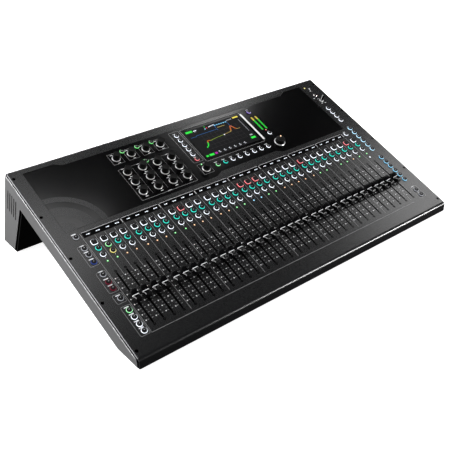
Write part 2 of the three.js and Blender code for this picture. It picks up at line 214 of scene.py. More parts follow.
class Solid:
    """Closed shapes in a local frame, in millimetres, each face with its material's number."""

    def __init__(self):
        self.points = []
        self.faces = []
        self.marks = []

    def loft(self, rings, mark=0):
        """Skins rings that have the same number of points, and closes both ends."""
        first, count = len(self.points), len(rings[0])
        for ring in rings:
            self.points += [tuple(p) for p in ring]
        for i in range(len(rings) - 1):
            low = first + i * count
            for k in range(count):
                n = (k + 1) % count
                self.faces.append((low + k, low + n, low + count + n, low + count + k))
        last = first + (len(rings) - 1) * count
        self.faces.append(tuple(range(first + count - 1, first - 1, -1)))
        self.faces.append(tuple(range(last, last + count)))
        self.marks += [mark] * (count * (len(rings) - 1) + 2)
        return self

    def rise(self, outline, levels, mark=0):
        """Raises an outline through (inset, height) levels."""
        rings = [[(x, y, z) for x, y in grown(outline, -inset)] for inset, z in levels]
        return self.loft(rings, mark)

    def turned(self, x, y, profile, mark=0, count=32):
        """A round solid from (radius, height) levels."""
        rings = [[(a, b, z) for a, b in circle(x, y, r, count)] for r, z in profile]
        return self.loft(rings, mark)

    def bar(self, x, y, width, height, mark=0, low=0.0, high=INK):
        """A plain thin bar, for printed marks."""
        return self.rise(rectangle(x, y, width, height), [(0, low), (0, high)], mark)

    def across(self, sections, mark=0):
        """Skins side views [(y, z), ...] given with their places across the console."""
        return self.loft([[(x, y, z) for y, z in outline] for x, outline in sections], mark)

    def absorb(self, mesh, height=0.0, mark=0):
        """Takes in another mesh, such as a cut plate."""
        first = len(self.points)
        self.points += [(v.co.x, v.co.y, v.co.z + height) for v in mesh.vertices]
        self.faces += [tuple(first + i for i in face.vertices) for face in mesh.polygons]
        self.marks += [mark] * len(mesh.polygons)
        bpy.data.meshes.remove(mesh)
        return self

    def repaint(self, rule):
        """Marks each face as a rule says for its middle, unless the rule gives None."""
        for i, face in enumerate(self.faces):
            middle = sum((Vector(self.points[k]) for k in face), Vector()) / len(face)
            mark = rule(middle)
            if mark is not None:
                self.marks[i] = mark
        return self

    def mesh(self, name, matrix):
        mesh = bpy.data.meshes.new(name)
        mesh.from_pydata([matrix @ Vector(p) for p in self.points], [], self.faces)
        mesh.polygons.foreach_set("material_index", self.marks)
        return mesh


def plate(outline, holes, low, high, bevel):
    """A flat plate with holes through it and rounded edges, as a mesh."""
    curve = bpy.data.curves.new("plate", "CURVE")
    curve.dimensions = "2D"
    curve.fill_mode = "BOTH"
    curve.extrude = (high - low) / 2 - bevel
    curve.bevel_depth = bevel
    curve.bevel_resolution = 1
    curve.offset = -bevel
    for points in [outline, *holes]:
        spline = curve.splines.new("POLY")
        spline.points.add(len(points) - 1)
        for spot, (x, y) in zip(spline.points, points):
            spot.co = (x, y, 0, 1)
        spline.use_cyclic_u = True
    holder = bpy.data.objects.new("plate", curve)
    bpy.context.scene.collection.objects.link(holder)
    bpy.context.view_layer.update()
    graph = bpy.context.evaluated_depsgraph_get()
    made = bpy.data.meshes.new_from_object(holder.evaluated_get(graph))
    bpy.data.objects.remove(holder)
    bpy.data.curves.remove(curve)
    made.materials.clear()
    work = bmesh.new()
    work.from_mesh(made)
    bmesh.ops.remove_doubles(work, verts=work.verts, dist=1e-3)
    bmesh.ops.translate(work, verts=work.verts, vec=(0, 0, (low + high) / 2))
    work.to_mesh(made)
    work.free()
    return made


def carve(solid, cutters):
    """A solid with closed cutters taken out of it."""
    holders = []
    for part in (solid, cutters):
        holder = bpy.data.objects.new("carve", part.mesh("carve", Matrix.Identity(4)))
        bpy.context.scene.collection.objects.link(holder)
        holders.append(holder)
    cut = holders[0].modifiers.new("cut", "BOOLEAN")
    cut.operation = "DIFFERENCE"
    cut.solver = "MANIFOLD"
    cut.object = holders[1]
    bpy.context.view_layer.update()
    graph = bpy.context.evaluated_depsgraph_get()
    made = bpy.data.meshes.new_from_object(holders[0].evaluated_get(graph))
    for holder in holders:
        old = holder.data
        bpy.data.objects.remove(holder)
        bpy.data.meshes.remove(old)
    made.materials.clear()
    return Solid().absorb(made)


# ---------- materials ----------


def add_node(tree, kind, values):
    """A new node with some of its inputs set."""
    made = tree.nodes.new(f"ShaderNode{kind}")
    if kind == "Mix":
        made.data_type = "RGBA"
    for label, value in values.items():
        made.inputs[label].default_value = value
    return made


def add_noise(tree, values):
    """A noise texture that is fixed to the piece it is on."""
    noise = add_node(tree, "TexNoise", values)
    place = tree.nodes.get("Texture Coordinate") or tree.nodes.new("ShaderNodeTexCoord")
    tree.links.new(place.outputs["Object"], noise.inputs["Vector"])
    return noise.outputs["Fac"]


def surface(name, color, roughness, metallic=0.0, grain=0.4, bump=0.1, mottle=0.12, gloss=0.5):
    """A finish whose texture is grain mm in size and whose colour varies by its mottle."""
    material = bpy.data.materials.new(name)
    material.use_nodes = True
    tree = material.node_tree
    shader = tree.nodes["Principled BSDF"]
    shader.inputs["Metallic"].default_value = metallic
    shader.inputs["Specular IOR Level"].default_value = gloss
    fine = add_noise(tree, {"Scale": 1 / (grain * MM), "Detail": 3})
    broad = add_noise(tree, {"Scale": 14, "Detail": 5})
    dark, light = ([c * (1 + change) for c in color] + [1] for change in (-mottle, mottle))
    shades = add_node(tree, "Mix", {"A": dark, "B": light})
    sheen = add_node(tree, "MapRange", {
        "From Min": 0.3, "From Max": 0.7,
        "To Min": max(0.02, roughness - 0.06), "To Max": min(1.0, roughness + 0.06),
    })
    relief = add_node(tree, "Bump", {"Strength": bump, "Distance": 0.1 * MM})
    for source, target in (
        (broad, shades.inputs["Factor"]), (shades.outputs["Result"], shader.inputs["Base Color"]),
        (fine, sheen.inputs["Value"]), (sheen.outputs["Result"], shader.inputs["Roughness"]),
        (fine, relief.inputs["Height"]), (relief.outputs["Normal"], shader.inputs["Normal"]),
    ):
        tree.links.new(source, target)
    return material


def glow(name, color, strength, base=0.6):
    """A lit light guide: pale translucent plastic that glows a little unevenly."""
    material = surface(name, [base * c for c in color], 0.35, grain=0.8, bump=0.05, gloss=0.1)
    tree = material.node_tree
    shader = tree.nodes["Principled BSDF"]
    shader.inputs["Emission Strength"].default_value = strength
    patches = add_noise(tree, {"Scale": 220})
    shades = add_node(tree, "Mix", {"A": [0.8 * c for c in color] + [1], "B": [*color, 1]})
    tree.links.new(patches, shades.inputs["Factor"])
    tree.links.new(shades.outputs["Result"], shader.inputs["Emission Color"])
    return material


STEEL = surface("panel_powder_coat", (0.0075, 0.0077, 0.0083), 0.27, grain=0.5, bump=0.05)
CHASSIS = surface(
    "chassis_powder_coat", (0.005, 0.005, 0.0055), 0.5, grain=0.5, bump=0.3, gloss=0.3
)
CHEEK = surface("cheek_metallic_paint", (0.36, 0.36, 0.365), 0.36, metallic=0.6, grain=0.35)
# painted highlight: a lighter paint for the cheeks' rim faces
CHEEK_EDGE_HIGHLIGHT = surface("cheek_painted_edge_highlight", (0.6, 0.6, 0.61), 0.36, metallic=0.6, grain=0.35)
# painted highlight: a lighter paint for the rounded side edges of the steel panel
PANEL_EDGE_HIGHLIGHT = surface("panel_painted_edge_highlight", (0.12, 0.12, 0.125), 0.3, metallic=0.6, bump=0.05)
FACIA = surface("facia_film", (0.0012, 0.0012, 0.0014), 0.15, grain=0.3, bump=0.02, gloss=0.3)
GLASS = surface("display_glass", (0.001, 0.001, 0.0012), 0.12, grain=6, bump=0.0, gloss=0.12)
KEY_TOP = surface("key_top_plastic", (0.003, 0.003, 0.0035), 0.4, grain=0.3, gloss=0.2)
CAP = surface("fader_cap_plastic", (0.0015, 0.0015, 0.0018), 0.25, grain=0.3, bump=0.05, gloss=0.16)
KNOB = surface("knob_plastic", (0.002, 0.002, 0.002), 0.35, grain=0.3, gloss=0.15)
SKIRT = surface("knob_skirt", (0.9, 0.9, 0.92), 0.35, metallic=0.6, grain=0.3)
BLACK = surface("black_moulding", (0.0015, 0.0015, 0.0015), 0.5, gloss=0.12)
MATTE = surface("matte_black", (0.0004, 0.0004, 0.0004), 0.8, gloss=0.0)
# painted highlight: a lighter grey for the front chamfers of the fader caps
CAP_EDGE_HIGHLIGHT = surface("cap_edge", (0.16, 0.16, 0.165), 0.3, grain=0.3, bump=0.05)
SHADE = surface("display_shade", (0.0004, 0.0004, 0.0005), 0.3, grain=6, bump=0.0, gloss=0.03)
RUBBER = surface("foot_rubber", (0.012, 0.012, 0.012), 0.85, grain=0.6, bump=0.4, gloss=0.3)
NICKEL = surface("nickel_plate", (0.72, 0.70, 0.67), 0.22, metallic=1.0, grain=0.5, bump=0.05)
# painted highlight: the pale strip at the screen's right-hand edge
SCREEN_EDGE_HIGHLIGHT = surface("screen_edge_painted_highlight", (0.80, 0.81, 0.82), 0.5, metallic=0.4)
ZINC = surface("zinc_plate", (0.5, 0.5, 0.5), 0.38, metallic=1.0, grain=1.2)
BOARD = surface("circuit_board", (0.01, 0.07, 0.03), 0.45, grain=1.5, mottle=0.3)
WHITE_INK = surface("white_ink", (0.85, 0.86, 0.88), 0.6)
GREY_INK = surface("grey_ink", (0.28, 0.28, 0.285), 0.6)

# name: (colour, strength, and how pale the plastic is, where it isn't the usual)
GLOW_TONES = {
    "white": ((0.85, 0.90, 1.0), 1.25),
    "white_core": ((0.95, 0.97, 1.0), 1.3),
    "ice": ((0.50, 0.78, 0.95), 1.2),
    "teal": ((0.0, 0.72, 0.58), 1.1),
    "teal_core": ((0.1, 0.80, 0.68), 1.1),
    "red": ((0.85, 0.06, 0.10), 1.0),
    "red_core": ((1.0, 0.55, 0.55), 1.2),
    "crimson": ((0.28, 0.01, 0.04), 0.6, 0.2),
    "green": ((0.03, 0.75, 0.06), 1.0, 0.3),
    "green_core": ((0.6, 1.0, 0.65), 1.2),
    "mint": ((0.06, 0.75, 0.15), 1.0),
    "mint_core": ((0.75, 1.0, 0.8), 1.2),
    "yellow": ((0.80, 0.66, 0.10), 1.0, 0.3),
    "yellow_core": ((1.0, 0.95, 0.5), 1.2),
    "amber": ((0.45, 0.16, 0.03), 0.9),
    "amber_core": ((1.0, 0.78, 0.52), 1.3),
    "blue": ((0.04, 0.09, 0.42), 0.7, 0.2),
    "blue_core": ((0.06, 0.12, 0.5), 0.7, 0.2),
    "cyan": ((0.22, 0.64, 0.92), 1.1, 0.4),
    "cyan_core": ((0.5, 0.8, 1.0), 1.1),
    "violet": ((0.25, 0.12, 0.75), 1.0, 0.3),
    "violet_core": ((0.8, 0.75, 1.0), 1.2),
    "magenta": ((0.5, 0.02, 0.42), 0.8, 0.3),
    "orange": ((0.65, 0.15, 0.02), 0.8, 0.3),
    "olive": ((0.20, 0.30, 0.03), 1.0, 0.3),
    "ochre": ((0.40, 0.30, 0.08), 1.0, 0.3),
    "navy": ((0.02, 0.12, 0.35), 1.0, 0.3),
    "dim": ((0.34, 0.35, 0.38), 1.0),
    "faint": ((0.05, 0.05, 0.055), 0.6, 0.3),
    "page": ((0.003, 0.003, 0.004), 0.5, 0.5),
}
GLOWS = {name: glow(f"glow_{name}", *tone) for name, tone in GLOW_TONES.items()}

# ---------- pieces ----------

SHARP_ANGLE = math.radians(32)


def shade(mesh):
    mesh.shade_smooth()
    mesh.set_sharp_from_angle(angle=SHARP_ANGLE)


def piece(name, mesh, materials, slot, body=BODY, at=None, replaces=()):
    """Puts a mesh in the scene as a named piece that rides on a body."""
    item = bpy.data.objects.new(name, mesh)
    bpy.context.scene.collection.objects.link(item)
    if not mesh.materials:
        for material in materials:
            mesh.materials.append(material)
        shade(mesh)
    if at is not None:
        item.location = at
    normals = item.modifiers.new("normals", "WEIGHTED_NORMAL")
    normals.keep_sharp = True
    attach(item, body)
    if replaces:
        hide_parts(*replaces)
    return item


def panel_piece(name, solid, materials, slot, **options):
    """A piece drawn where it lies, in the panel's frame."""
    return piece(name, solid.mesh(name, PANEL), materials, slot, **options)


def copies(name, solid, materials, matrix=TURN):
    """A mesh to be used in several places, drawn round its own origin."""
    mesh = solid.mesh(name, matrix)
    for material in materials:
        mesh.materials.append(material)
    shade(mesh)
    return mesh


def place(x, y, z=0.0):
    return PANEL @ Vector((x, y, z))


# ---------- where the controls are ----------

LEFT_KEYS_X = -362
RIGHT_KEYS_X = 364.5
PAGE_KEY = (340, 265)
SELECT_Y = 241.25
MIX_Y = 226.25
MUTE_Y = 210.5
SCREEN_SIDE_X = -37.5
SCREEN_SIDE_Y = (415.5, 400, 385, 370.5, 355, 340)
SOFT_KEYS_Y = 308.75
SOFT_KEYS_X = (-5.5, 15, 35, 54.5, 75, 95, 115, 135)
EDIT_KEYS = ((-168.75, 421), (-133.25, 421), (-98, 421), (-138, 379))
ROUND = 5.6
SMALL = 5.0
SQUARE = 12

LEFT_KEYS = {
    265: "dim", 236: "dim", 220.5: "dim", 203: "blue", 172.5: "dim", 154.5: "crimson",
    140: "crimson", 116: "dim", 88.75: "mint", 73.25: "white", 57.5: "white", 43: "white",
}
RIGHT_BANKS = {
    "white": (352.5, 337.5, 323, 308), "ice": (276, 261, 246, 231, 215.5, 200.5),
    "cyan": (170, 154.5, 140, 125, 110, 95), "dim": (58.75, 43.75),
}
RIGHT_KEYS = {y: colour for colour, spots in RIGHT_BANKS.items() for y in spots}
RED_SELECTS = {10, 17, 18, 19, 25, 32}
LAMPS = {
    "green": {1, 2, 8, 9, 15, 16, 19, 20, 26, 27, 29, 30, 32, 33},
    "amber": {3, 4, 5, 6, 7, 10, 11, 12, 13, 14, 21, 22, 23, 24, 25, 31},
    "cyan": {17, 18},
}
BANK = 4
BANKS = len(strip_x) // BANK

SCREEN = (59.2, 377)
SCREEN_SIZE = (157, 97)
METER_COLUMNS, METER_Y = (160.5, 172), 379.5
FACIA_CORNER = (-373, 282)
MAINS_INLET = (330, -140)
LAMP_ROW = 195

# ---------- steel panel ----------


def facia_outline(margin=0.0):
    (left, bottom), right, top = FACIA_CORNER, 348, 435
    points = [
        (left, bottom), (-27.5, bottom), (-9.5, bottom + 8.5), (142, bottom + 8.5), (160, bottom),
        (right, bottom), (right, top + 9), (296, top + 9), (279, top), (-295, top),
        (-310, top + 9), (left, top + 9),
    ]
    return rounded_path(grown(points, margin), 1.2, 3)


SCREW_ROWS = (16.9, 122.3, 227.7, 333.1, 438.5)
SCREW_SPOTS = [(x, y) for x in (-393.3, 393.3) for y in SCREW_ROWS]
SLOT_LOW, SLOT_HIGH, SLOT_WIDTH = 49.5, 166, 3.4
SCREW_LOW, SCREW_HIGH = 46.2, 169.1
DISPLAYS = [(-309 + 85 * i, 263.5) for i in range(BANKS)]
DISPLAY_SIZE = (80.5, 12)
KEY_GAP = 0.35


def key_spots():
    """(name, outline, colour) of each key that comes up through the steel panel."""
    spots = [("page_key", PAGE_KEY, ROUND, "white")]
    for side, x, column in (("left", LEFT_KEYS_X, LEFT_KEYS), ("right", RIGHT_KEYS_X, RIGHT_KEYS)):
        for i, (y, colour) in enumerate(column.items()):
            spots.append((f"{side}_key_{i + 1:02d}", (x, y), ROUND, colour))
    for i, x in enumerate(strip_x):
        mix = "mint" if i == 1 else "teal"
        mute = "yellow" if i == 1 else "white"
        spots.append((f"mix_key_{i + 1:02d}", (x, MIX_Y), ROUND, mix))
        spots.append((f"mute_key_{i + 1:02d}", (x, MUTE_Y), ROUND, mute))
    return spots


def steel_panel():
    path = [(REAR_WALL, -REAR_RETURN)]
    for degrees in (0, 12, 25, 38, 51.5, 77, 90):
        turn = math.radians(degrees)
        y = REAR_WALL + REAR_RADIUS * (math.cos(turn) - 1)
        path.append((y, REAR_RADIUS * (math.sin(turn) - 1)))
    path += arc_corner((0, 0), (1, 0), DOWN, NOSE_RADIUS, 12)
    path.append(underside(0))
    edge = 1.1
    full, slim = folded(path), folded(path, skin=edge)
    ends = HALF_WIDTH
    sheet = Solid().across([(-ends, slim), (edge - ends, full), (ends - edge, full), (ends, slim)])
    through = [(0, -3 * SHEET), (0, SHEET)]
    cutters = Solid().rise(facia_outline(GAP), through)
    for x in strip_x:
        slot = rectangle(x, (SLOT_LOW + SLOT_HIGH) / 2, SLOT_WIDTH, SLOT_HIGH - SLOT_LOW, 1.3)
        cutters.rise(slot, through)
        cutters.rise(rectangle(x, SELECT_Y, SQUARE + 2 * KEY_GAP, SQUARE + 2 * KEY_GAP, 3), through)
    for _, (x, y), radius, _ in key_spots():
        cutters.rise(circle(x, y, radius + KEY_GAP), through)
    for x, y in SCREW_SPOTS:
        cutters.rise(circle(x, y, 3.3, 20), through)
    for x, y in DISPLAYS:
        cutters.rise(rectangle(x, y, *DISPLAY_SIZE, 1), through)
    phones = knob_place("phones_level")
    cutters.rise(circle(phones.x, phones.y, 3.6), through)
    panel = carve(sheet, cutters)
    # the faces of the rounded side edges take the lighter paint, a painted highlight along both
    # ends of the panel
    panel.repaint(lambda at: 1 if ends - edge + 0.02 < abs(at.x) < ends - 0.02 else None)
    paints = [STEEL, PANEL_EDGE_HIGHLIGHT]
    panel_piece("steel_panel", panel, paints, "panel_paint", replaces=["top_panel"])


steel_panel()


def screws():
    """Countersunk hexagon-socket screws along both sides of the panel."""
    profile = [(1.8, -7), (1.8, -2.2), (3.1, -0.9), (3.1, -0.3), (2.8, -0.1)]
    screw = Solid().turned(0, 0, [*profile, (1.6, -0.1), (1.5, -1.6)], 0, 18)
    mesh = copies("panel_screw", screw, [MATTE])
    for i, (x, y) in enumerate(SCREW_SPOTS):
        piece(f"panel_screw_{i + 1:02d}", mesh, [], "chassis_paint", at=place(x, y))


screws()


def fader_slots():
    """The screws at the ends of each fader's slot, and the dark fader module under it, whose black
    lips line the slot's walls as painted shade.
    """
    heads = Solid()
    head = [(1.2, -5), (1.2, -1.6), (2.6, -0.2), (2.6, 0.05), (2.3, 0.2), (1.2, 0.2), (1.0, -1.2)]
    modules = Solid()
    middle = (SLOT_LOW + SLOT_HIGH) / 2
    for x in strip_x:
        for y in (SCREW_LOW, SCREW_HIGH):
            heads.turned(x, y, head, 0, 18)
        for side in (-1, 1):
            rail = rectangle(x + 3.7 * side, middle, 5.2, 136, 0.8, 2)
            modules.rise(rail, [(0.3, -15.5), (0, -15.2), (0, -2.4), (0.3, -2.1)], 0)
            # matte black lips along the slot's walls: painted shade that darkens the slot
            shade_liner = rectangle(x + 1.28 * side, middle, 0.74, SLOT_HIGH - SLOT_LOW - 2, 0.1, 2)
            modules.rise(shade_liner, [(0, -2.6), (0, -0.12), (0.1, -0.05)], 0)
        floor_plate = rectangle(x, middle, 13, 138, 1, 2)
        modules.rise(floor_plate, [(0, -18.4), (0, -17.2), (0.3, -16.9)], 1)
    panel_piece("fader_screws", heads, [MATTE], "chassis_paint")
    panel_piece("fader_modules", modules, [MATTE, ZINC], "chassis_paint")


fader_slots()

# ---------- chassis, cheeks and feet ----------


def casing_outline(inset, leg_inset):
    """The casing's side view, drawn in all round, and further in at the leg's front."""
    foot = inset - FRONT_HEIGHT
    toe = Vector(upright(LEG_FOOT_FRONT + leg_inset, foot))
    along = Vector(upright(LEG_FOOT_REAR, foot)) - toe
    top_rear = (REAR_WALL - inset, -inset)
    points = [
        upright(inset, foot),
        (underside(BEND)[0], underside(BEND)[1] + inset),
        (LEG_TOP + leg_inset, inset - SLAB),
        tuple(toe),
        tuple(toe + along * (REAR_WALL - inset - toe.x) / along.x),
        top_rear,
    ]
    path = [points[0], *rounded_run(points, (4, 4, 4, 3))]
    path += arc_corner(top_rear, (0, -1), (-1, 0), REAR_RADIUS, 8)
    return path + arc_corner((inset, -inset), (1, 0), DOWN, NOSE_RADIUS, 10)


CHEEK_INSET, CHEEK_LEG_INSET = 3.2, 5
VENT_COUNT, VENT_PITCH, VENT_Y, VENT_Z = 5, 8, 427, -56
VENT_WIDTH, VENT_HEIGHT = 3, 52
SIDEWAYS = Matrix(((0, 0, 1, 0), (1, 0, 0, 0), (0, 1, 0, 0), (0, 0, 0, 1)))


def cheeks():
    """The end plates, with rounded edges and cooling slots: black slot walls are painted shade,
    lighter rim faces a painted highlight.
    """
    outline = casing_outline(CHEEK_INSET, CHEEK_LEG_INSET)
    soft = ((0.9, 0), (0.27, 0.27), (0, 0.9))
    rows = [VENT_Y + VENT_PITCH * (i - (VENT_COUNT - 1) / 2) for i in range(VENT_COUNT)]
    for side in ("left", "right"):
        node = f"{side}_end_cheek"
        low, high = (corner.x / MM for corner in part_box(node))
        sections = [(low + deep, grown(outline, -skin)) for skin, deep in soft]
        sections += [(high - deep, grown(outline, -skin)) for skin, deep in reversed(soft)]
        vents = Solid()
        for y in rows:
            vent = rectangle(y, VENT_Z, VENT_WIDTH, VENT_HEIGHT, 1.4)
            vents.across([(low - 1, vent), (high + 1, vent)])

        # rim faces take the lighter edge paint, a painted highlight; the vents' walls take black,
        # painted shade inside the slots
        def paint(at):
            if not low + 0.02 < at.x < high - 0.02:
                return None
            vent_wall_in_painted_shade = min(abs(at.y - y) for y in rows) < VENT_WIDTH / 2 + 0.2
            return 1 if vent_wall_in_painted_shade and abs(at.z - VENT_Z) < VENT_HEIGHT / 2 + 0.2 else 2

        cheek = carve(Solid().across(sections), vents).repaint(paint)
        paints = [CHEEK, BLACK, CHEEK_EDGE_HIGHLIGHT]
        mesh = cheek.mesh(node, PANEL)
        piece(f"{side}_cheek", mesh, paints, "cheek_paint", replaces=[node])


cheeks()

FEET = [(x, level) for x in (-365, 365) for level in (34, 467)]


def chassis():
    """The folded sheet under the panel, which turns down and back up as the leg."""
    front = SHEET + GAP
    corners = [
        upright(front, 12 - FRONT_HEIGHT),
        underside(front),
        underside(BEND),
        (LEG_TOP, -SLAB),
        underside(LEG_FOOT_FRONT),
        underside(LEG_FOOT_REAR),
        (REAR_WALL, REAR_FOOT),
        (REAR_WALL, -REAR_RETURN - GAP),
    ]
    bends = rounded_run(corners, [2.5] * (len(corners) - 2))
    side = folded([corners[0], *bends, corners[-1]])
    shell = Solid().across([(-HALF_WIDTH, side), (HALF_WIDTH, side)])
    opening = rectangle(*MAINS_INLET, 26, 18, 2)[::-1]
    depths = (REAR_WALL - 6, REAR_WALL + 3)
    return carve(shell, Solid().loft([[(x, y, z) for x, z in opening] for y in depths]))


panel_piece("chassis", chassis(), [CHASSIS], "chassis_paint", replaces=["base_shell"])


def feet():
    foot_height = -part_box("base_shell")[0].z / MM + 2.5
    turned_up = Matrix.Scale(MM, 4)
    foot = Solid().turned(0, 0, [(10.6, 0), (11, 0.5), (11, 2), (10, 2.4), (6, 2.5)], count=40)
    mesh = foot.mesh("foot", turned_up)
    for i, (x, level) in enumerate(FEET):
        y, z = upright(level, -FRONT_HEIGHT - foot_height)
        piece(f"rubber_foot_{i + 1}", mesh, [RUBBER], "chassis_paint", at=place(x, y, z))


feet()

# ---------- rear sockets ----------

# drawn as seen from behind: across, up, and out of the rear wall
BACKWARDS = TURN @ Matrix(((-1, 0, 0, 0), (0, 0, 1, 0), (0, 1, 0, 0), (0, 0, 0, 1)))


def round_socket():
    """A three-pole round microphone socket in its square flange."""
    socket = Solid().rise(rectangle(0, 0, 26, 31, 3), [(0, -1.9), (0, 1.2), (0.5, 1.7)], 0)
    rim = [(11.4, 1.5), (11.4, 2.6), (11.0, 3.0), (9.8, 3.0), (9.4, 2.4), (9.3, 1.75)]
    socket.turned(0, 0, rim, 0, 28)
    socket.turned(0, 0, [(8.6, 1.5), (8.6, 2.3), (8.2, 2.6)], 1, 28)
    for x, y in ((-3.5, 0.8), (3.5, 0.8), (0, -4)):
        socket.turned(x, y, [(1.5, 2.5), (1.5, 2.75), (0.9, 2.8)], 2, 12)
    for side in (-1, 1):
        socket.turned(10 * side, 12.5 * side, [(2, 1.6), (2, 2.0), (1.2, 2.5)], 2, 14)
    return copies("round_socket", socket, [CHASSIS, BLACK, NICKEL], BACKWARDS)


def jack_socket():
    """A jack socket held by a ribbed nut."""
    nut = [(7, -1.9), (7, 1.6), (6.4, 2.2), (4.4, 2.4), (3.6, 2.0), (3.4, 0.4)]
    socket = Solid().turned(0, 0, nut, 0, 24)
    socket.turned(0, 0, [(3.6, 0.3), (3.5, 1.0), (3.0, 1.1)], 1, 20)
    return copies("jack_socket", socket, [NICKEL, BLACK], BACKWARDS)


def port(width, height):
    """A rectangular data socket: a metal shell round a dark opening."""
    socket = Solid().rise(rectangle(0, 0, width, height, 0.8), [(0, -1.9), (0, 1.4), (0.3, 1.7)], 0)
    inside = rectangle(0, 0, width - 2.4, height - 2.4, 0.5)
    socket.rise(inside, [(0, 1.5), (0, 1.9), (0.2, 1.95)], 1)
    socket.rise(rectangle(0, height / 4, width / 2, 1.4), [(0, 1.8), (0, 2.1), (0.2, 2.2)], 0)
    return copies("port", socket, [ZINC, BLACK], BACKWARDS)


def mains_inlet():
    """A three-pin mains inlet behind the opening in the rear wall."""
    levels = [(0, -16), (0, -0.6), (0.5, -0.2), (2.2, -0.2), (2.6, -0.6)]
    inlet = Solid().rise(rectangle(0, 0, 25, 17, 3.2), levels)
    for x, y in ((-7, -1.5), (7, -1.5), (0, 2.5)):
        inlet.rise(rectangle(x, y, 2, 4.4, 0.4, 2), [(0, -0.8), (0, 1.4), (0.4, 1.8)], 1)
    return copies("mains_inlet", inlet, [BLACK, NICKEL], BACKWARDS)


def rocker_switch():
    rocker = Solid().rise(rectangle(0, 0, 15, 22, 1.4), [(0, -1.9), (0, 1.0), (0.5, 1.4)], 0)
    rings = [[(x, y, z + 0.07 * y) for x, y in rectangle(0, 0, w, h, 0.8)] for w, h, z in (
        (11, 18, 1.2), (11, 18, 2.2), (10, 17, 2.6)
    )]
    rocker.loft(rings, 0)
    rocker.rise(rectangle(0, -5, 1.0, 4), [(0, 1.6), (0, 2.35)], 1)
    return copies("rocker_switch", rocker, [BLACK, WHITE_INK], BACKWARDS)


def rear_sockets():
    def row(count, z, pitch=44):
        return [(-350 + pitch * i, z) for i in range(count)]

    rows = [
        ("microphone_socket", round_socket(), [*row(16, -48), *row(16, -86)]),
        ("output_socket", round_socket(), row(8, -126)),
        ("jack", jack_socket(), row(16, -160, 22)),
        ("network_port", port(18, 16), [(60, -126), (88, -126)]),
        ("usb_port", port(15, 8), [(118, -126)]),
        ("mains_inlet", mains_inlet(), [MAINS_INLET]),
        ("mains_switch", rocker_switch(), [(292, -140)]),
    ]
    for name, mesh, spots in rows:
        for i, (x, z) in enumerate(spots):
            piece(f"{name}_{i + 1}", mesh, [], "chassis_paint", at=place(x, REAR_WALL, z))


rear_sockets()

# ---------- inside the casing ----------


def main_board():
    """The circuit board under the faders and keys, with its chips, capacitors and connectors."""
    board = Solid()
    board.rise(rectangle(-10, 215, 700, 250, 3), [(0, -27), (0, -25.6), (0.1, -25.4)], 0)
    for i in range(8):
        x = -318 + 85 * i
        board.rise(rectangle(x, 210, 22, 22, 1, 2), [(0, -29.6), (0, -27.2), (0.3, -27)], 1)
        board.rise(rectangle(x + 34, 196, 9, 14, 0.6, 2), [(0, -29), (0, -27.2), (0.2, -27)], 1)
        board.rise(rectangle(x + 10, 262, 40, 6, 0.6, 2), [(0, -25.5), (0, -20.6), (0.4, -20.2)], 2)
        for k in range(4):
            can = [(3.1, -33.4), (3.3, -33), (3.3, -28), (2.9, -27.6), (3.3, -27.1), (3.3, -26.9)]
            board.turned(x - 24 + 9 * k, 300, can, 3, 16)
    panel_piece("main_board", board, [BOARD, BLACK, WHITE_INK, ZINC], "chassis_paint")


def power_supply():
    """The power supply's vented case, in the leg beside the mains inlet."""
    case = rectangle(431, -130, 36, 54, 1.5)
    slots = [rectangle(419 + 6 * i, -130, 2.4, 36, 1) for i in range(5)]
    shell = Solid().absorb(plate(case, slots, -1.0, 1.0, 0.3), 240)
    shell.absorb(plate(case, slots, -1.0, 1.0, 0.3), 380)
    shell.rise(grown(case, -0.6), [(0, 240.5), (0, 379.5)], 0)
    mesh = shell.mesh("power_supply", PANEL @ SIDEWAYS)
    piece("power_supply", mesh, [ZINC], "chassis_paint")


main_board()
power_supply()

# ---------- facia and touchscreen ----------


def facia_keys():
    """(name, place, colour) of each key that comes up through the facia."""
    keys = [(f"edit_key_{i + 1}", spot, "green") for i, spot in enumerate(EDIT_KEYS)]
    for i, y in enumerate(SCREEN_SIDE_Y):
        colour = "red" if i == len(SCREEN_SIDE_Y) - 1 else "white"
        keys.append((f"screen_key_{i + 1}", (SCREEN_SIDE_X, y), colour))
    soft = ["mint", "teal"] + ["white"] * (len(SOFT_KEYS_X) - 2)
    for i, (x, colour) in enumerate(zip(SOFT_KEYS_X, soft)):
        keys.append((f"soft_key_{i + 1}", (x, SOFT_KEYS_Y), colour))
    keys.append(("meter_key_1", (166, 417.5), "violet"))
    keys.append(("meter_key_2", (167, 342), "white"))
    return keys


def facia():
    holes = [rectangle(*SCREEN, SCREEN_SIZE[0] + 0.8, SCREEN_SIZE[1] + 0.8, 1.5)]
    for _, (x, y), _ in facia_keys():
        holes.append(circle(x, y, SMALL + KEY_GAP))
    for node in [*encoders, "soft_rotary", "main_wheel"]:
        spot = knob_place(node)
        holes.append(circle(spot.x, spot.y, 3.6, 24))
    holes += [rectangle(x, METER_Y, 7, 46, 1) for x in METER_COLUMNS]
    front = Solid().absorb(plate(facia_outline(), holes, -2.4, 0.0, 0.25))
    panel_piece("facia", front, [FACIA], "facia_gloss", replaces=["facia_panel"])


facia()


def screen():
    width, height = SCREEN_SIZE
    x, y = SCREEN
    glass = Solid().rise(
        rectangle(x, y, width, height, 1.4),
        [(0, -3.5), (0, -0.5), (0.15, -0.2), (0.4, -0.1)],
    )
    glass.rise(rectangle(x, y, width + 12, height + 12, 2), [(0, -11.5), (0, -5), (0.5, -4.9)])
    glass.rise(rectangle(x, y, width - 4, height - 4, 2), [(0, -5.0), (0, -3.4)])
    panel_piece("display_module", glass, [GLASS], "screen_glass", replaces=["touchscreen"])


screen()


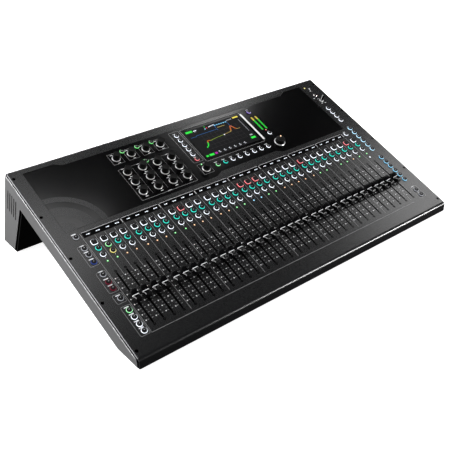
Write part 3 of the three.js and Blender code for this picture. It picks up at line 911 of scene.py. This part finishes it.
def screen_page():
    """A generic equaliser page: tabs, a frame, a curve over a grid and coloured buttons."""
    x0, y0 = SCREEN[0] - 74.5, SCREEN[1] - 43.5
    low, high = -0.14, -0.1 + INK
    page = Solid()
    names = ["page", "green", "yellow", "cyan", "orange", "magenta", "white", "red", "dim"]
    names += ["olive", "ochre", "navy", "faint"]
    mark = {name: i for i, name in enumerate(names)}

    up = 0.05

    def tile(x, y, w, h, colour, lift=up):
        page.bar(x0 + x + w / 2, y0 + y + h / 2, w, h, mark[colour], low, high + lift)

    tile(0, 0, 149, 87, "page", 0)
    tile(2, 79, 17, 5.5, "green")
    tile(22, 80.5, 8, 1.4, "white")
    tile(22, 77.5, 5, 1.2, "dim")
    tile(132, 81, 15, 4, "yellow")
    for i in range(4):
        tile(113 + 4 * i, 80.5, 2.2, 2.2, "dim")
    for i in range(9):
        tile(30 + 12 * i, 18, 0.3, 48, "faint")
    for i in range(5):
        tile(22, 20 + 10 * i, 106, 0.3, "faint")
    tile(20, 66, 55, 0.8, "navy")
    tile(4, 64, 16, 0.8, "navy")
    tile(76, 63, 0.8, 17, "navy")
    tile(76, 78.6, 36, 1.0, "navy")
    for i in range(6):
        tile(77 + 6 * i, 77.8, 3.6, 1.6, "cyan", 2 * up)
    tile(111, 60, 0.8, 18, "navy")
    tile(80, 70, 20, 1.3, "ochre")
    tile(50, 76, 2.6, 2.6, "cyan")
    tile(55, 77.5, 2.2, 2.2, "red")
    tile(52, 82, 2.2, 2.2, "green")
    for i in range(5):
        tile(62 + 3.4 * i, 79 + 0.4 * i, 2.2, 1.6, "white")
    tile(2, 3, 6, 4.5, "green")
    tile(11, 2.6, 12, 5.5, "green")
    tile(26, 3, 6, 5, "magenta")
    for i in range(6):
        tile(37 + 14 * i, 4, 4.4, 2.2, "dim")
        tile(37 + 14 * i, 7.5, 2.4, 1.2, "white")
    tile(132, 10, 12, 5.5, "green")
    tile(135, 20, 7, 3.2, "dim")
    tile(142, 34, 0.8, 40, "dim")

    def level(t):
        low_end = -13 * math.exp(-((t / 0.13) ** 2))
        hump = 7 * math.exp(-(((t - 0.12) / 0.045) ** 2))
        peak = 15 * math.exp(-(((t - 0.83) / 0.05) ** 2))
        return 41 + low_end + hump + 9 * t + peak

    steps = 64
    for i in range(steps):
        t = i / steps
        x, y = 21 + 108 * t, level(t)
        rise = abs(level(t + 1 / steps) - y) + 0.8
        colour = "olive" if t < 0.55 else "ochre"
        if t < 0.08:
            colour = "green"
        elif abs(t - 0.13) < 0.04 or abs(t - 0.83) < 0.07:
            colour = "orange"
        tile(x, min(y, level(t + 1 / steps)), 1.9, rise, colour, 2 * up)
    tile(20, 26, 2.6, 2.6, "green", 3 * up)
    tile(80, 44.5, 2.4, 2.4, "white", 3 * up)
    materials = [GLOWS[name] for name in names]
    panel_piece("screen_page", page, materials, "screen_glass")


screen_page()


def meters():
    """Two columns of level lamps in slots beside the screen."""
    bars = Solid()
    for x in METER_COLUMNS:
        bars.rise(rectangle(x, METER_Y, 6.6, 45.6, 0.8), [(0, -2.2), (0, -0.8), (0.3, -0.6)], 0)
        for i in range(12):
            colour = 1 if i < 9 else 2
            for shift in (-1.1, 1.1):
                lamp = rectangle(x + shift, METER_Y - 20 + 3.65 * i, 1.3, 3.1, 0.3, 2)
                bars.rise(lamp, [(0, -0.7), (0, -0.3), (0.15, -0.2)], colour)
    panel_piece("meters", bars, [BLACK, GLOWS["green"], GLOWS["yellow"]], "screen_glass")


meters()

# ---------- keys ----------


RING = 0.8  # width of the lit ring round a key's cap


def key_shape(outline):
    """A black key cap in a light guide, which shows as a lit ring round it."""
    key = Solid()
    key.rise(outline, [(0.1, -3), (0.1, 0.9)], 1)
    key.rise(outline, [(0.05, 0.7), (0.0, 0.8), (0.05, 1.55), (0.3, 1.8)], 0)
    key.rise(outline, [(0.25, 1.5), (0.3, 1.8), (0.5, 1.88), (RING + 0.3, 1.9)], 3)
    edge = RING
    profile = [(edge, 1.6), (edge, 2.45), (edge + 0.2, 2.75), (edge + 0.6, 2.9)]
    profile += [(edge + 1.3, 2.8), (edge + 1.9, 2.7)]
    key.rise(outline, profile, 1)
    return key


def round_key(radius):
    key = key_shape(circle(0, 0, radius))
    key.rise(rectangle(0.2, 1.0, 1.5, 0.8, 0.3, 2), [(0, 2.5), (0, 2.86)], 2)
    return key


def square_key(size):
    return key_shape(rectangle(0, 0, size, size, 3.2, 6))


def keys():
    meshes = {}

    def key_mesh(kind, size, colour):
        label = f"{kind}_{colour}"
        if label not in meshes:
            made = square_key(size) if kind == "square" else round_key(size)
            core = GLOWS.get(f"{colour}_core", GLOWS[colour])
            meshes[label] = copies(label, made, [GLOWS[colour], KEY_TOP, WHITE_INK, core])
        return meshes[label]

    for name, (x, y), radius, colour in key_spots():
        mesh = key_mesh("round", radius, colour)
        piece(name, mesh, [], "key_rubber", body="panel_keymat", at=place(x, y))
    for i, x in enumerate(strip_x):
        mesh = key_mesh("square", SQUARE, "red" if i + 1 in RED_SELECTS else "white")
        name, at = f"select_key_{i + 1:02d}", place(x, SELECT_Y)
        piece(name, mesh, [], "key_rubber", body="panel_keymat", at=at)
    for name, (x, y), colour in facia_keys():
        mesh = key_mesh("small", SMALL, colour)
        piece(name, mesh, [], "key_rubber", body="facia_keymat", at=place(x, y))


keys()


def keymat_web(name, node, areas, radius, levels):
    """The silicone sheet that carries the keys, under the panel or under the facia."""
    web = Solid()
    for area in areas:
        web.rise(span(*area, radius), levels)
    panel_piece(name, web, [RUBBER], "key_rubber", body=node, replaces=[node])


LEFT_WEB = (LEFT_KEYS_X - 7.5, LEFT_KEYS_X + 7.5)
RIGHT_WEB = (RIGHT_KEYS_X - 7.5, RIGHT_KEYS_X + 7.5)
keymat_web("panel_key_web", "panel_keymat", [
    (LEFT_WEB[0], 202, RIGHT_WEB[1], 249.5),
    (LEFT_WEB[0], 35.5, LEFT_WEB[1], 201.9),
    (LEFT_WEB[0], 249.6, LEFT_WEB[1], 272),
    (RIGHT_WEB[0], 36, RIGHT_WEB[1], 201.9),
    (RIGHT_WEB[0], 249.6, RIGHT_WEB[1], 360),
    (PAGE_KEY[0] - 7.5, 249.6, PAGE_KEY[0] + 7.5, 272),
], 2, [(0, -4.2), (0, -3.2), (0.2, -3.0)])
keymat_web("facia_key_web", "facia_keymat", [
    (-176, 416, -44.1, 427), (-142.5, 373, -133.5, 415.9), (-44, 316, -31, 427),
    (-30.9, 316, -13.1, 321), (-13, 302, 142, 318), (142.1, 315, 159.9, 321),
    (160, 315, 173, 424),
], 1.5, [(0, -6.6), (0, -5.6), (0.2, -5.4)])

# ---------- faders ----------


CAP_END = 12.5


def cap_crest(y):
    """The height of the fader cap's top along it: a finger dish between two rolled ends."""
    reach = abs(y)
    dish = 9.5 + 3.0 * math.sin(min(1.0, reach / 9.0) * math.pi / 2) ** 2
    roll = max(0.0, reach - 9.3)
    return dish - 0.42 * roll * roll


def cap_section(y, skin=0.0, low=2.5):
    """The cap's cross-section (x, z) at a distance from its middle, with chamfered long edges."""
    half = 6.3 - 0.2 * (y / CAP_END) ** 2 + skin
    crest = cap_crest(y) + skin
    side = [(half, low), (half, crest - 1.7), (half - 0.2, crest - 1.2), (half - 1.1, crest - 0.25)]
    side.append((half - 1.6, crest - 0.05))
    return side + [(0, crest - 0.25)] + [(-x, z) for x, z in reversed(side)]


def fader_cap():
    cap = Solid()
    half = [CAP_END, 12.3, 11.9, 11.3, 10.5, 9.6, 8.6, 7.6, 6.6, 5.4, 4.2, 3.0, 1.8]
    places = half + [0.6, 0, -0.6] + [-y for y in reversed(half)]
    cap.loft([[(x, y, z) for x, z in cap_section(y)] for y in places], 0)

    # the front half of the cap's long chamfers takes the lighter grey, a painted highlight
    def on_highlit_front_chamfer(at):
        beside_top = 4.9 < abs(at.x) < 6.2 and cap_crest(at.y) - at.z < 1.45
        return 3 if -10 < at.y < 0 and beside_top else None

    cap.repaint(on_highlit_front_chamfer)
    line = [[(x, y, z) for x, z in cap_section(0, 0.12, 6.5)] for y in (0.6, -0.6)]
    cap.loft(line, 1)
    cap.rise(rectangle(0, 0, 1.6, 6, 0.3, 2), [(0, -16), (0, 3)], 2)
    return cap


def fader_caps():
    mesh = copies("fader_cap", fader_cap(), [CAP, WHITE_INK, NICKEL, CAP_EDGE_HIGHLIGHT])
    for name, x in zip(faders, strip_x):
        piece(
            f"{name}_cap", mesh, [], "fader_cap_plastic", body=name, at=place(x, REST_Y),
            replaces=[name],
        )


fader_caps()

# ---------- knobs ----------

GROOVES = 20


def grip_ring(radius, z, depth):
    """A ring whose edge has shallow grooves, for a ribbed grip."""
    count = GROOVES * 4
    points = []
    for i in range(count):
        a = 2 * math.pi * i / count
        r = radius - depth * (0.5 + 0.5 * math.cos(GROOVES * a))
        points.append((r * math.cos(a), r * math.sin(a), z))
    return points


def knob(radius, height, grip, dished=False):
    """A ribbed knob in a pale skirt ring, on its shaft."""
    solid = Solid()
    count = GROOVES * 4
    solid.turned(0, 0, [(3, -9), (3, 1)], 2, 20)
    skirt = [(radius - 0.15, 0.6), (radius, 0.8), (radius, 1.7), (radius - 0.25, 2.0)]
    skirt.append((grip - 0.3, 2.1))
    solid.turned(0, 0, skirt, 1, count)
    sink = 1.6 if dished else 0.35
    levels = [
        (grip, 1.9, 0), (grip, 2.8, 0), (grip - 0.25, 3.3, 0.15),
        (grip * 0.95, height - 1.4, 0.35), (grip * 0.92, height - 0.5, 0.15),
        (grip * 0.85, height, 0), (grip * 0.78, height - 0.1, 0),
        (grip * 0.72, height - sink * 0.5, 0), (grip * 0.5, height - sink, 0),
    ]
    solid.loft([grip_ring(r, z, depth) for r, z, depth in levels], 0)
    return solid


def pointer_and_highlight(solid, grip, height, angle):
    """A pointer line across a knob's top, and a white stripe down its side that is partly a pointer
    and partly a painted highlight.
    """
    turn = Matrix.Rotation(angle, 3, "Z")
    top = rectangle(0, grip * 0.72, 0.9, grip * 0.5, 0.3, 2)
    # the stripe down the side stands partly for a painted highlight on the knob's side
    side = rectangle(0, grip - 0.35, 0.9, 1.1)
    for outline, low, high in ((top, height - 1.0, height + 0.06), (side, 3.4, height - 0.6)):
        turned = [tuple((turn @ Vector((x, y, 0))).xy) for x, y in outline]
        solid.rise(turned, [(0, low), (0, high)], 3)
    return solid


# turned to put the side stripe where the knob's side catches a highlight: partly a painted
# highlight
PHONES_HIGHLIGHT_TURN = math.radians(101)


def knobs():
    solids = {
        "encoder": knob(8.7, 14.8, 7.6),
        "soft": knob(9, 14.8, 7.9),
        "wheel": knob(12.5, 10.9, 10.9, dished=True),
        "phones": pointer_and_highlight(knob(5.4, 17.8, 4.5), 4.5, 17.8, PHONES_HIGHLIGHT_TURN),
    }
    solids["wheel"].turned(5.2, 6.9, [(1.4, 9), (1.4, 10.8), (1.1, 11.05), (0.5, 11.15)], 4, 16)
    meshes = {}
    for kind, solid in solids.items():
        materials = [KNOB, SKIRT, NICKEL, WHITE_INK, GLOWS["amber_core"]]
        meshes[kind] = copies(f"{kind}_knob", solid, materials)
    places = [(node, "encoder") for node in encoders]
    places += [("soft_rotary", "soft"), ("main_wheel", "wheel"), ("phones_level", "phones")]
    for node, kind in places:
        piece(
            f"{node}_knob", meshes[kind], [], "knob_plastic", body=node,
            at=Vector(joints[f"{node}_turn"]["pos_m"]), replaces=[node],
        )


knobs()


def phones_socket():
    """A small headphone socket in a nickel nut, up the slope from its level knob."""
    x, y = 368.5, 404.5
    socket = Solid()
    socket.turned(x, y, [(5.4, -6), (5.4, 0.5), (5.1, 0.9), (4.0, 1.1), (3.4, 1.0), (3.2, 0.4)], 0)
    socket.turned(x, y, [(3.25, 0.3), (3.0, 0.75), (1.9, 0.7), (1.8, -0.5)], 1)
    panel_piece("phones_socket", socket, [NICKEL, BLACK], "chassis_paint")


phones_socket()

# ---------- displays, lamps and print ----------


def displays():
    for i, (x, y) in enumerate(DISPLAYS):
        width, height = DISPLAY_SIZE
        strip = Solid()
        strip.rise(
            rectangle(x, y, width - 0.6, height - 0.6, 0.8),
            [(0, -2.5), (0, 0.0), (0.25, 0.25), (0.7, 0.3)], 0,
        )
        for k in range(BANK):
            middle = strip_x[i * BANK + k]
            spread = ((-2.6, 2.4), (0.4, 1.6), (3.0, 2.0)) if k % 2 else ((-2.0, 1.6), (1.8, 3.6))
            for shift, long in spread:
                strip.bar(middle + shift, y - 0.4, long, 1.7, 1, 0.28, 0.3 + INK)
        panel_piece(f"channel_display_{i + 1}", strip, [SHADE, GLOWS["white"]], "screen_glass")


displays()


def lamp(solid, x, y, radius):
    """A small lens with a bright core in a darker rim."""
    rim = [(radius, -1), (radius, 0.1), (radius * 0.85, 0.22), (radius * 0.6, 0.25)]
    solid.turned(x, y, rim, 0, 16)
    core = radius * 0.68
    solid.turned(x, y, [(core, 0.1), (core, 0.35), (core * 0.75, 0.6), (core * 0.3, 0.7)], 1, 16)


def lamps():
    """Small round lenses: one below each strip's keys, and a few beside other controls."""
    for colour, strips in LAMPS.items():
        lens = Solid()
        for number in sorted(strips):
            lamp(lens, strip_x[number - 1], LAMP_ROW, 1.7)
        pair = [GLOWS[colour], GLOWS[f"{colour}_core"]]
        panel_piece(f"strip_lamps_{colour}", lens, pair, "key_rubber")
    singles = {
        "status_lamp": ((359.5, 435), "yellow", 1.8),
        "master_lamp": ((339.5, 183), "white", 1.8),
        "rotary_lamp": ((-37.5, 324), "green", 1.6),
        "clip_lamp": ((166, 354), "red", 1.4),
    }
    for name, ((x, y), colour, size) in singles.items():
        lens = Solid()
        lamp(lens, x, y, size)
        panel_piece(name, lens, [GLOWS[colour], GLOWS[f"{colour}_core"]], "key_rubber")


lamps()


LINE = 0.55  # width of the printed frames


def frame_line(solid, left, bottom, right, top, radius=3.0):
    """A thin printed line round a group of controls."""
    outer = span(left, bottom, right, top, radius)
    solid.absorb(plate(outer, [grown(outer, -LINE)], 0.0, INK, 0.0))


def broken_frame(solid, left, bottom, right, top):
    """A thin printed frame that stops short of the edit keys it meets."""
    clear = 6.2
    corners = span(left, bottom, right, top)
    for corner, following in zip(corners, corners[1:] + corners[:1]):
        start, end = Vector(corner), Vector(following)
        along = (end - start).normalized()
        runs = [(-LINE / 2, (end - start).length + LINE / 2)]
        for spot in EDIT_KEYS:
            reach = (Vector(spot) - start).dot(along)
            aside = (Vector(spot) - start - along * reach).length
            if aside < clear:
                half = math.sqrt(clear * clear - aside * aside)
                runs = [
                    run for a, b in runs
                    for run in ((a, min(b, reach - half)), (max(a, reach + half), b))
                    if run[1] - run[0] > 0.5
                ]
        for a, b in runs:
            middle, size = start + along * (a + b) / 2, along * (b - a)
            solid.bar(*middle, max(LINE, abs(size.x)), max(LINE, abs(size.y)))


def panel_print():
    lines = Solid()
    left, right, bottom = -352, 333, 34.5
    lines.bar(left, 152.5, 0.6, 235)
    lines.bar((left + right) / 2, bottom, right - left, 0.6)
    for i, x in enumerate(strip_x[:-1]):
        between = (x + strip_x[i + 1]) / 2
        if (i + 1) % BANK == 0:
            lines.bar(between, 149, 0.6, 215)
        else:
            lines.bar(between, 207, 0.5, 98)
    for i, (x, y) in enumerate(DISPLAYS):
        # a white line along each display's top edge: a painted highlight of the display's top bevel
        lines.bar(x, y + 6.6, DISPLAY_SIZE[0], 0.5, 1)
        lines.bar(x + 42.2, y + 1, 0.8, 9, 1)
    for low, high in ((195, 244), (132, 180), (107, 127), (35, 100)):
        frame_line(lines, LEFT_KEYS_X - 11, low, LEFT_KEYS_X + 8, high)
    frame_line(lines, 355, 36, 375, 71)
    panel_piece("panel_lines", lines, [GREY_INK, WHITE_INK], "panel_paint")


panel_print()


def fader_print():
    """Level marks beside the faders, and a small label bar above the groups of keys."""
    levels = (155.5, 146, 133, 117.5, 106, 94.5, 82.5, 70.75, 58.75)
    marks = Solid()
    for x in strip_x:
        for k, y in enumerate(levels):
            marks.bar(x - 8.6, y, 1.9, 1.9)
            for side in (-1, 1):
                marks.bar(x + 4.4 * side, y, 2.6, 0.8, 1)
                if k < len(levels) - 1:
                    marks.bar(x + 4 * side, (y + levels[k + 1]) / 2, 1.8, 0.6, 1)
        marks.bar(x, 202.5, 1.3, 1.0)
    panel_piece("fader_marks", marks, [WHITE_INK, GREY_INK], "panel_paint")
    labels = Solid()
    for y in LEFT_KEYS:
        labels.bar(LEFT_KEYS_X - 1, y + 7.6, 9, 2.0)
    for y in RIGHT_KEYS:
        labels.bar(RIGHT_KEYS_X - 1, y + 7.2, 3, 0.9)
    labels.bar(RIGHT_KEYS_X, 70, 9, 1.3)
    labels.bar(PAGE_KEY[0], PAGE_KEY[1] + 7.6, 5, 1)
    for x, y, width, height in (
        (371, 430, 5, 1.4), (369, 425.5, 1.2, 7), (366.5, 420.5, 4, 1.2),
        (357, 395.6, 4.5, 1.8), (365, 390.7, 3.5, 1.6), (364.5, 374.5, 4, 1.6),
        (373.5, 373, 3.5, 1.5),
    ):
        labels.bar(x, y, width, height)
    panel_piece("panel_labels", labels, [WHITE_INK], "panel_paint")


fader_print()


def facia_print():
    lines = Solid()
    columns = sorted({round(knob_place(node).x, 1) for node in encoders})
    rows = sorted({round(knob_place(node).y, 1) for node in encoders})
    pitch = columns[1] - columns[0]
    for x in columns:
        broken_frame(lines, x - 12.5, rows[-1] - 14, x + 12.5, rows[-1] + 16)
    broken_frame(lines, columns[0] - 13.5, rows[0] - 19, columns[-1] + 13, rows[2] + 13)
    for x in columns[:-1]:
        lines.bar(x + pitch / 2 - 1.5, 335, 0.5, 74)
    frame_line(lines, -50, 332.5, -25, 429)
    soft = knob_place("soft_rotary")
    frame_line(lines, soft.x - 13, soft.y - 13, soft.x + 13, soft.y + 17)
    x, y = SCREEN
    frame_line(lines, x - 81, y - 51, x + 81, y + 51, 2)
    panel_piece("facia_lines", lines, [GREY_INK], "facia_gloss")
    labels = Solid()
    for node in encoders:
        spot = knob_place(node)
        labels.bar(spot.x - 4, spot.y + 12.6, 6, 1.3)
        labels.bar(spot.x + 1, spot.y - 12.2, 6, 1.3)
    for x in SOFT_KEYS_X:
        labels.bar(x - 1, SOFT_KEYS_Y + 8.2, 7.5, 1.2)
    for y in SCREEN_SIDE_Y:
        labels.bar(SCREEN_SIDE_X - 1, y + 7.2, 6, 1.0)
    labels.bar(-140, 290.5, 9, 1.4)
    labels.bar(166, 426, 7, 1.2)
    panel_piece("facia_labels", labels, [WHITE_INK], "facia_gloss")


facia_print()


def corner_arcs():
    """A plain motif in the facia's front left corner: quarter rings in the panel's paint."""
    x, y = FACIA_CORNER
    turns = [math.pi / 2 * i / 24 for i in range(25)]
    arcs = Solid()
    for inner, outer in ((0, 26), (42, 62), (76, 88)):
        points = [(x + outer * math.cos(a), y + outer * math.sin(a)) for a in turns]
        if inner:
            points += [(x + inner * math.cos(a), y + inner * math.sin(a)) for a in turns[::-1]]
        else:
            points.append(FACIA_CORNER)
        arcs.loft([[(*point, z) for point in points] for z in (0.0, INK)])
    panel_piece("facia_motif", arcs, [STEEL], "panel_paint")


corner_arcs()


def add_screen_highlight_strip():
    """A pale satin strip at the screen's right-hand edge: a painted highlight of that edge."""
    levels = [(0, 0.0), (0, 0.5), (0.5, 1.0), (1.2, 1.1)]
    strip = Solid().rise(rectangle(142.5, 375.5, 4.2, 90, 1.5), levels)
    panel_piece("screen_edge_highlight", strip, [SCREEN_EDGE_HIGHLIGHT], "facia_gloss")


add_screen_highlight_strip()

# ---------- stage, lights and camera ----------


LIGHTS = [
    # name, direction round from the right and elevation in degrees, distance,
    # (width, height), watts
    ("key_softbox", 161, 42, 3.0, (2.0, 2.0), 100),
    ("right_softbox", -2, 36, 3.0, (0.85, 0.8), 10.5),
    ("back_right_softbox", 34, 49, 3.0, (0.45, 0.42), 3.6),
    ("overhead_softbox", 62, 74, 3.0, (0.9, 0.6), 7),
    ("left_softbox", 150, 8, 2.0, (1.8, 0.5), 21),
    ("front_strip", -45, 4, 2.6, (0.5, 0.3), 40),
    ("front_fill", -57, 5, 2.6, (0.5, 0.3), 30),
    ("back_strip", 67, 15, 2.8, (1.2, 0.7), 40),
]


def area_light(name, azimuth, elevation, distance, size, power):
    """A softbox that faces the console from a direction."""
    data = bpy.data.lights.new(name, "AREA")
    data.shape = "RECTANGLE"
    data.size, data.size_y = size
    data.energy = power
    light = bpy.data.objects.new(name, data)
    turn, lift = math.radians(azimuth), math.radians(elevation)
    level = math.cos(lift)
    away = Vector((level * math.cos(turn), level * math.sin(turn), math.sin(lift)))
    light.location = Vector((0.1, 0, 0.1)) + away * distance
    light.rotation_euler = away.to_track_quat("Z", "Y").to_euler()
    bpy.context.scene.collection.objects.link(light)


def stage():
    floor = bpy.data.meshes.new("floor")
    rings, around = [(0.5, 0), (20, 0), (24, 1), (27, 4), (29, 10), (30, 40)], 48
    points = [(x, y, z) for radius, z in rings for x, y in circle(0, 0, radius, around)]
    faces = [tuple(range(around))]
    for first in range(0, len(points) - around, around):
        for k in range(around):
            n = (k + 1) % around
            faces.append((first + k, first + around + k, first + around + n, first + n))
    floor.from_pydata(points, [], faces)
    ground = bpy.data.objects.new("floor", floor)
    bpy.context.scene.collection.objects.link(ground)
    paper = surface("studio_floor", (0.8, 0.8, 0.8), 0.9, grain=3, bump=0.02, mottle=0.01)
    shader = paper.node_tree.nodes["Principled BSDF"]
    shader.inputs["Emission Color"].default_value = (1, 1, 1, 1)
    shader.inputs["Emission Strength"].default_value = 0.95
    floor.materials.append(paper)
    ground.visible_diffuse = False
    ground.visible_glossy = False
    ground.visible_shadow = False
    world = bpy.data.worlds.new("studio")
    bpy.context.scene.world = world
    world.use_nodes = True
    sky = world.node_tree.nodes["Background"]
    sky.inputs["Color"].default_value = (1, 1, 1, 1)
    sky.inputs["Strength"].default_value = 0.02
    for light in LIGHTS:
        area_light(*light)


stage()


def camera():
    """The camera looks at a point on the panel, from its front left."""
    azimuth, elevation, distance = math.radians(39.41), math.radians(31.29), 1.368
    target = place(-94.6, 168.24)
    view = Vector((
        math.sin(azimuth) * math.cos(elevation),
        math.cos(azimuth) * math.cos(elevation),
        -math.sin(elevation),
    ))
    data = bpy.data.cameras.new("camera")
    data.lens = 57.15
    data.sensor_width = 36
    eye = bpy.data.objects.new("camera", data)
    eye.location = target - view * distance
    eye.rotation_euler = view.to_track_quat("-Z", "Y").to_euler()
    bpy.context.scene.collection.objects.link(eye)
    bpy.context.scene.camera = eye


camera()
bpy.context.scene.view_settings.view_transform = "Standard"
